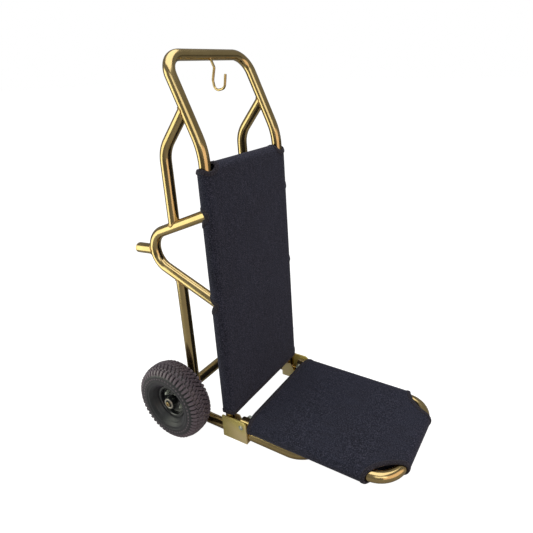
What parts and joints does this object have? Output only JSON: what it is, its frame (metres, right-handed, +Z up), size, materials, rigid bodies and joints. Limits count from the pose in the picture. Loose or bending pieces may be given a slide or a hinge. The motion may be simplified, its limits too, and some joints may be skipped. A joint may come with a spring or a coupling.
{
  "type": "hotel luggage cart",
  "caption": "Bent-tube hotel luggage cart in brushed gold with a carpeted back, a carpeted folding platform, a garment hook and pneumatic wheels.",
  "frame": {"origin": "on the floor under the middle of the cart's bounding box", "axes": "+Z up, -Y ahead in the direction that the platform points, +X to the left of the person who pushes"},
  "size_m": [0.5966, 0.9295, 1.242],
  "materials": {
    "gold_tube": "brushed, gold plated",
    "gold_plate": "satin, gold plated",
    "carpet": "ribbed needle-punch carpet, charcoal",
    "plywood": "plain plywood",
    "tyre_rubber": "moulded block tread",
    "tube_rubber": "smooth",
    "rim_paint": "gloss black",
    "zinc_steel": "zinc plated",
    "black_steel": "black oxide",
    "valve_rubber": "smooth"
  },
  "bodies": {
    "frame": {"handle_hoop": "gold_tube", "base_loop": "gold_tube", "cross_tube": "gold_tube", "garment_hook": "gold_tube", "axle": "gold_tube", "back_board": "plywood", "back_cover": "carpet", "back_cross_bar_1": "gold_tube", "back_cross_bar_2": "gold_tube", "back_cross_bar_3": "gold_tube", "strut_left": "gold_tube", "strut_right": "gold_tube", "side_loop_left": "gold_tube", "side_loop_right": "gold_tube", "rest_peg_left": "gold_tube", "rest_peg_right": "gold_tube", "peg_cap_left": "gold_tube", "peg_cap_right": "gold_tube", "hinge_bracket_left": "gold_plate", "hinge_bracket_right": "gold_plate", "hinge_bolt_left": "zinc_steel", "hinge_bolt_right": "zinc_steel", "hinge_nut_left": "zinc_steel", "hinge_nut_right": "zinc_steel", "axle_spacer_left": "gold_tube", "axle_spacer_right": "gold_tube", "axle_washer_left": "black_steel", "axle_washer_right": "black_steel", "axle_clip_left": "black_steel", "axle_clip_right": "black_steel"},
    "platform": {"platform_frame": "gold_tube", "platform_cross_bar_1": "gold_tube", "platform_cross_bar_2": "gold_tube", "deck_board": "plywood", "platform_cover": "carpet", "hinge_washer_left": "zinc_steel", "hinge_washer_right": "zinc_steel"},
    "left_wheel": {"left_tyre": "tyre_rubber", "left_inner_tube": "tube_rubber", "left_rim_outer": "rim_paint", "left_rim_inner": "rim_paint", "left_bearing_outer": "zinc_steel", "left_bearing_inner": "zinc_steel", "left_rim_bolt_1": "zinc_steel", "left_rim_bolt_2": "zinc_steel", "left_rim_bolt_3": "zinc_steel", "left_rim_bolt_4": "zinc_steel", "left_valve_stem": "valve_rubber"},
    "right_wheel": {"right_tyre": "tyre_rubber", "right_inner_tube": "tube_rubber", "right_rim_outer": "rim_paint", "right_rim_inner": "rim_paint", "right_bearing_outer": "zinc_steel", "right_bearing_inner": "zinc_steel", "right_rim_bolt_1": "zinc_steel", "right_rim_bolt_2": "zinc_steel", "right_rim_bolt_3": "zinc_steel", "right_rim_bolt_4": "zinc_steel", "right_valve_stem": "valve_rubber"}
  },
  "joints": [
    {"name": "platform_fold", "type": "hinge", "parent": "frame", "child": "platform", "pos_m": [0, 0.0775, 0.06], "axis": [-1, 0, 0], "range_deg": [0, 91.8]},
    {"name": "left_wheel_spin", "type": "hinge", "parent": "frame", "child": "left_wheel", "pos_m": [0.2559, 0.3047, 0.132], "axis": [1, 0, 0], "continuous": true},
    {"name": "right_wheel_spin", "type": "hinge", "parent": "frame", "child": "right_wheel", "pos_m": [-0.2559, 0.3047, 0.132], "axis": [1, 0, 0], "continuous": true}
  ]
}
